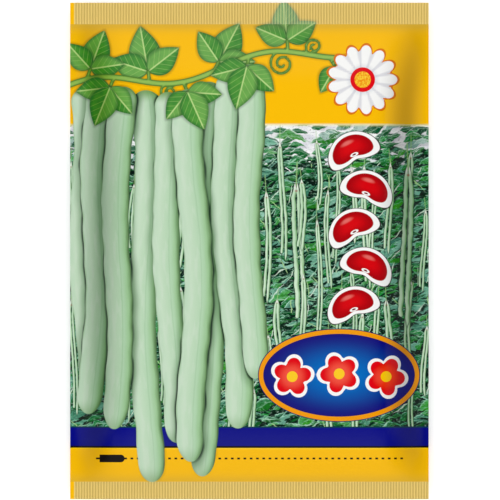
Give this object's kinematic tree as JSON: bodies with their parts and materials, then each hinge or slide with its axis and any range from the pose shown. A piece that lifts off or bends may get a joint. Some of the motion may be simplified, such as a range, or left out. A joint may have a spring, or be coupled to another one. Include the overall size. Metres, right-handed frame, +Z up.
{
  "type": "seed packet",
  "caption": "Flat pillow pouch of printed film, crimped across both ends and seamed down the back, holding loose bean seeds.",
  "frame": {"origin": "middle of the surface that the packet lies on", "axes": "+Z up out of the printed front, +Y towards the packet's top end, +X to the right as the front is seen"},
  "size_m": [0.13, 0.18, 0.0135],
  "materials": {
    "printed_film": "satin laminated film, printed in yellow, green and navy",
    "back_film": "satin laminated film, printed as the front is round two bare pale fields",
    "crimped_film": "film pressed into fine ribs, paler along the crests",
    "seed_coat": "smooth seed coat, mottled dark brown, black and cream"
  },
  "bodies": {
    "root": {"front_panel": "printed_film", "back_panel_left": "back_film", "back_panel_right": "back_film", "back_seam": "back_film", "top_seal": "crimped_film", "bottom_seal": "crimped_film", "seed_01": "seed_coat", "seed_02": "seed_coat", "seed_03": "seed_coat", "seed_04": "seed_coat", "seed_05": "seed_coat", "seed_06": "seed_coat", "seed_07": "seed_coat", "seed_08": "seed_coat", "seed_09": "seed_coat", "seed_10": "seed_coat", "seed_11": "seed_coat", "seed_12": "seed_coat", "seed_13": "seed_coat", "seed_14": "seed_coat", "seed_15": "seed_coat", "seed_16": "seed_coat", "seed_17": "seed_coat", "seed_18": "seed_coat", "seed_19": "seed_coat", "seed_20": "seed_coat", "seed_21": "seed_coat", "seed_22": "seed_coat", "seed_23": "seed_coat", "seed_24": "seed_coat", "seed_25": "seed_coat", "seed_26": "seed_coat", "seed_27": "seed_coat", "seed_28": "seed_coat", "seed_29": "seed_coat", "seed_30": "seed_coat", "seed_31": "seed_coat", "seed_32": "seed_coat", "seed_33": "seed_coat", "seed_34": "seed_coat", "seed_35": "seed_coat", "seed_36": "seed_coat", "seed_37": "seed_coat", "seed_38": "seed_coat", "seed_39": "seed_coat", "seed_40": "seed_coat", "seed_41": "seed_coat", "seed_42": "seed_coat", "seed_43": "seed_coat", "seed_44": "seed_coat", "seed_45": "seed_coat", "seed_46": "seed_coat", "seed_47": "seed_coat", "seed_48": "seed_coat"}
  },
  "joints": []
}
